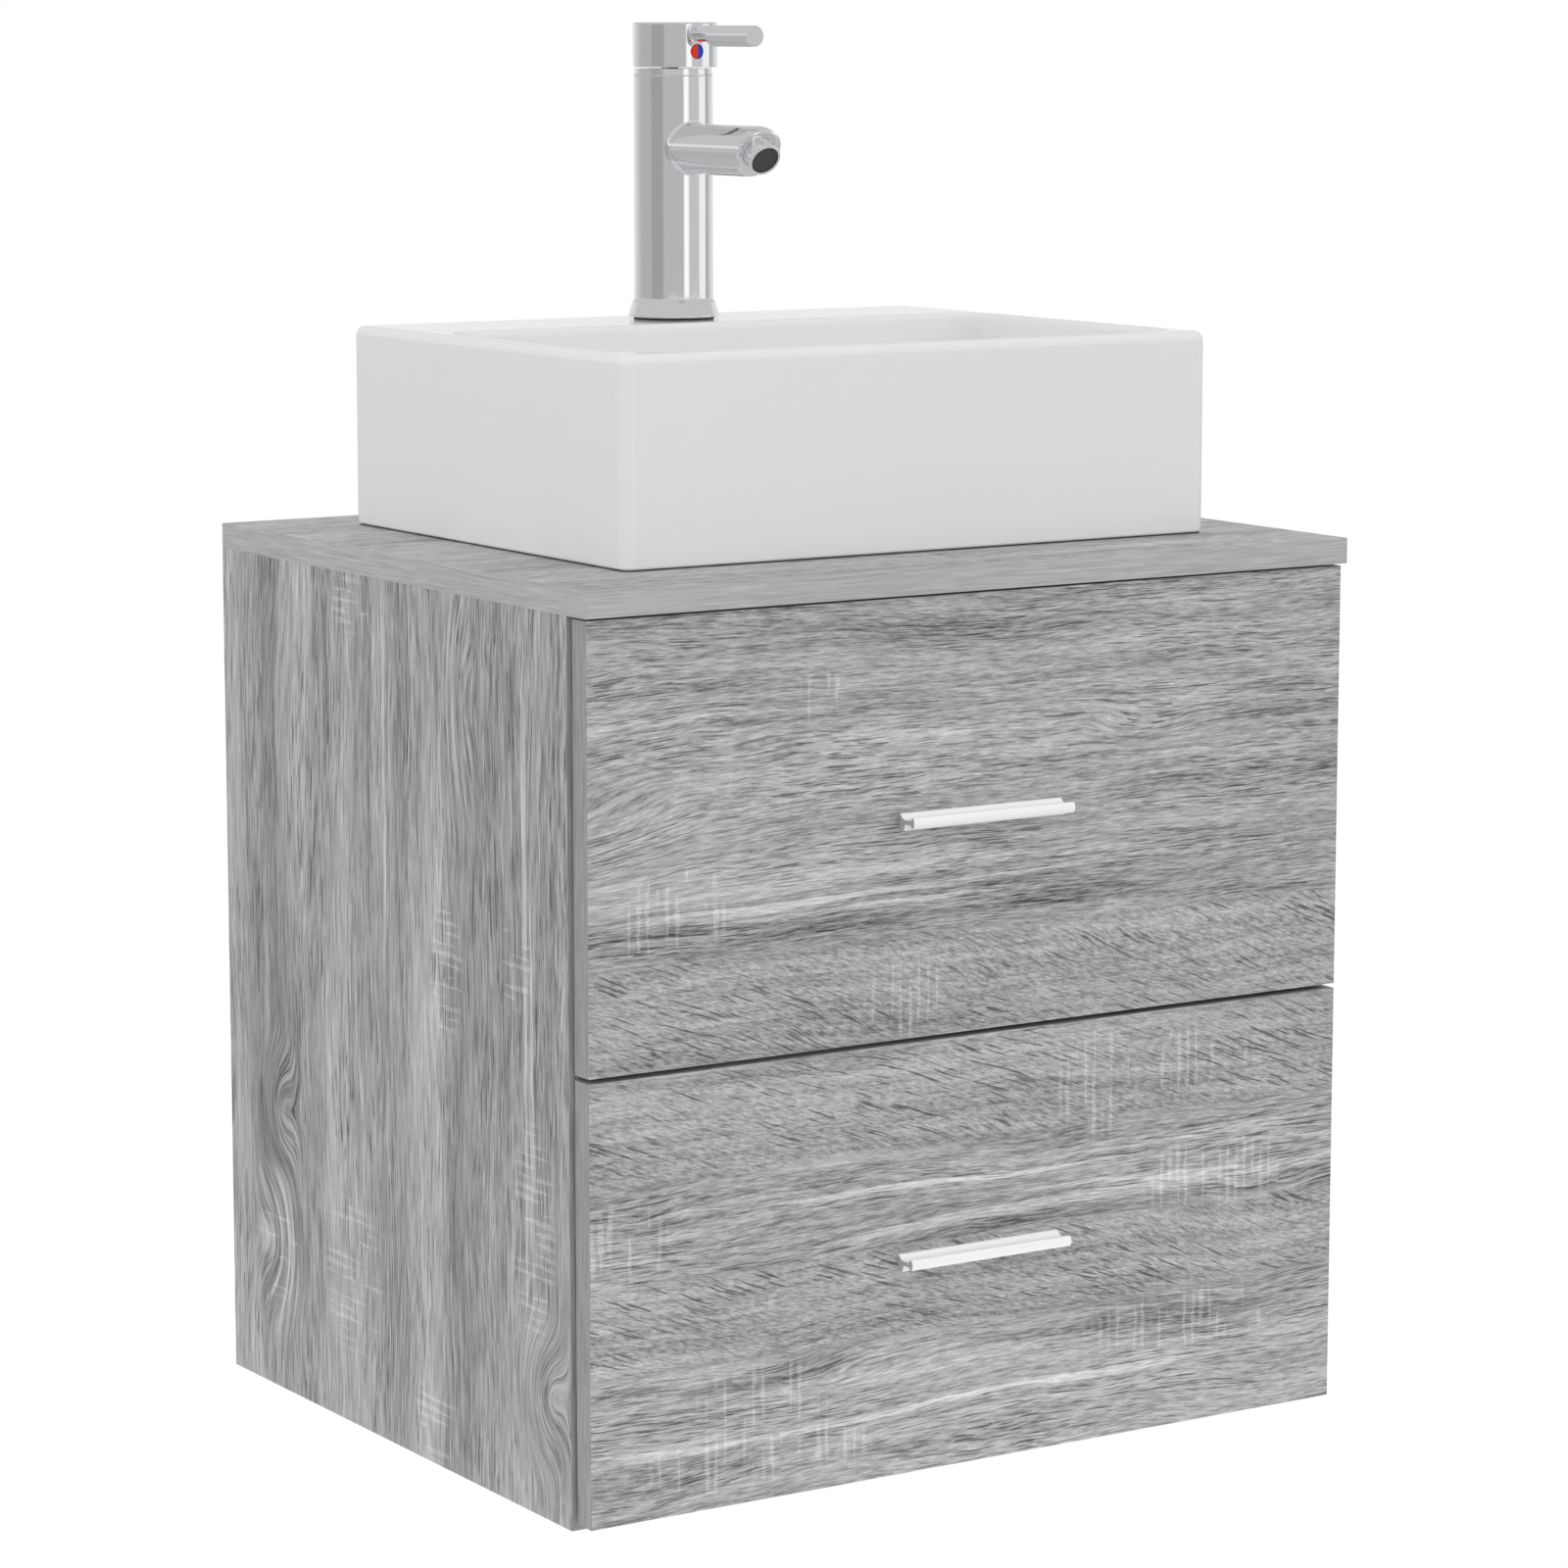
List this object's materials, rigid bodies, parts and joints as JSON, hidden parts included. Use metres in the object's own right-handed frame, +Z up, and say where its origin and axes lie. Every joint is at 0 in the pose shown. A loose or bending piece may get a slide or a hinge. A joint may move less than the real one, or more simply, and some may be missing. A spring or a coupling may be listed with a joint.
{
  "type": "vessel sink on vanity",
  "caption": "Wall-hung bathroom vanity with stacked drawers, a rectangular vessel basin and a single-lever mixer tap.",
  "frame": {"origin": "centre of the whole assembly's footprint, at the level of the cabinet's lowest edge", "axes": "+Z up, the drawers and the spout face -Y, the wall is on +Y, +X is to the right as seen from the front"},
  "size_m": [0.55, 0.473, 0.8723],
  "materials": {
    "oak_board": "matt, embossed",
    "white_board": "matt",
    "birch": "raw",
    "zinc": "zinc plated",
    "runner_enamel": "satin enamel",
    "handle_enamel": "gloss white",
    "nylon": "satin",
    "glazed_ceramic": "gloss glaze",
    "silicone": "matt",
    "chrome": "polished",
    "black_rubber": "matt",
    "stainless": "satin",
    "mesh_steel": "woven",
    "brass": "turned",
    "cartridge_plastic": "satin",
    "rotor_plastic": "satin",
    "mark_red_blue": "gloss"
  },
  "bodies": {
    "cabinet": {"worktop": "oak_board", "side_panel_left": "oak_board", "side_panel_right": "oak_board", "bottom_panel": "oak_board", "top_back_rail": "white_board", "bottom_back_rail": "white_board", "carcass_dowels": "birch", "cam_locks": "zinc", "cam_bolts": "zinc", "runner_screws": "zinc", "upper_runner_left": "runner_enamel", "upper_runner_right": "runner_enamel", "lower_runner_left": "runner_enamel", "lower_runner_right": "runner_enamel", "basin": "glazed_ceramic", "basin_bed": "silicone", "overflow_ring": "chrome", "waste_body": "chrome", "waste_seal": "black_rubber", "waste_washer": "black_rubber", "waste_nut": "chrome", "tap_body": "chrome", "tap_gasket": "black_rubber", "tap_spout": "chrome", "aerator_housing": "chrome", "aerator_mesh": "mesh_steel", "tap_stud": "brass", "horseshoe_seal": "black_rubber", "horseshoe_washer": "stainless", "stud_nut": "brass", "cartridge_body": "cartridge_plastic", "cartridge_nut": "chrome"},
    "upper_drawer": {"upper_front": "oak_board", "upper_handle": "handle_enamel", "upper_handle_screws": "zinc", "upper_side_left": "white_board", "upper_side_right": "white_board", "upper_floor": "white_board", "upper_back": "white_board", "upper_notch_walls": "white_board", "upper_drawer_runners": "runner_enamel"},
    "lower_drawer": {"lower_front": "oak_board", "lower_handle": "handle_enamel", "lower_handle_screws": "zinc", "lower_side_left": "white_board", "lower_side_right": "white_board", "lower_floor": "white_board", "lower_back": "white_board", "lower_drawer_runners": "runner_enamel"},
    "upper_front_rollers": {"upper_cabinet_rollers": "nylon"},
    "upper_rear_rollers": {"upper_drawer_rollers": "nylon"},
    "lower_front_rollers": {"lower_cabinet_rollers": "nylon"},
    "lower_rear_rollers": {"lower_drawer_rollers": "nylon"},
    "plug": {"plug_cap": "chrome", "plug_stem": "stainless"},
    "tap_rotor": {"cartridge_rotor": "rotor_plastic"},
    "tap_lever": {"cartridge_stem": "stainless", "lever_head": "chrome", "lever_rod": "chrome", "temperature_mark": "mark_red_blue"}
  },
  "joints": [
    {"name": "upper_drawer_slide", "type": "slide", "parent": "cabinet", "child": "upper_drawer", "axis": [0, -1, 0], "range_m": [0, 0.25]},
    {"name": "lower_drawer_slide", "type": "slide", "parent": "cabinet", "child": "lower_drawer", "axis": [0, -1, 0], "range_m": [0, 0.25]},
    {"name": "upper_front_rollers_turn", "type": "hinge", "parent": "cabinet", "child": "upper_front_rollers", "pos_m": [0, -0.19, 0.3037], "axis": [1, 0, 0], "range_deg": [0, 1791.5]},
    {"name": "upper_rear_rollers_turn", "type": "hinge", "parent": "upper_drawer", "child": "upper_rear_rollers", "pos_m": [0, 0.14, 0.3015], "axis": [1, 0, 0], "range_deg": [0, 1791.5]},
    {"name": "lower_front_rollers_turn", "type": "hinge", "parent": "cabinet", "child": "lower_front_rollers", "pos_m": [0, -0.19, 0.0337], "axis": [1, 0, 0], "range_deg": [0, 1791.5]},
    {"name": "lower_rear_rollers_turn", "type": "hinge", "parent": "lower_drawer", "child": "lower_rear_rollers", "pos_m": [0, 0.14, 0.0315], "axis": [1, 0, 0], "range_deg": [0, 1791.5]},
    {"name": "tap_turn", "type": "hinge", "parent": "cabinet", "child": "tap_rotor", "pos_m": [0.006, 0.1405, 0.8288], "axis": [0, 0, 1], "range_deg": [-45, 45]},
    {"name": "lever_lift", "type": "hinge", "parent": "tap_rotor", "child": "tap_lever", "pos_m": [0.006, 0.1445, 0.8388], "axis": [-1, 0, 0], "range_deg": [0, 20]},
    {"name": "plug_slide", "type": "slide", "parent": "cabinet", "child": "plug", "axis": [0, 0, 1], "range_m": [-0.0075, 0]}
  ],
  "couplings": [
    {"joint": "upper_front_rollers_turn", "follows": "upper_drawer_slide", "rad_per_m": 125},
    {"joint": "upper_rear_rollers_turn", "follows": "upper_drawer_slide", "rad_per_m": 125},
    {"joint": "lower_front_rollers_turn", "follows": "lower_drawer_slide", "rad_per_m": 125},
    {"joint": "lower_rear_rollers_turn", "follows": "lower_drawer_slide", "rad_per_m": 125}
  ]
}
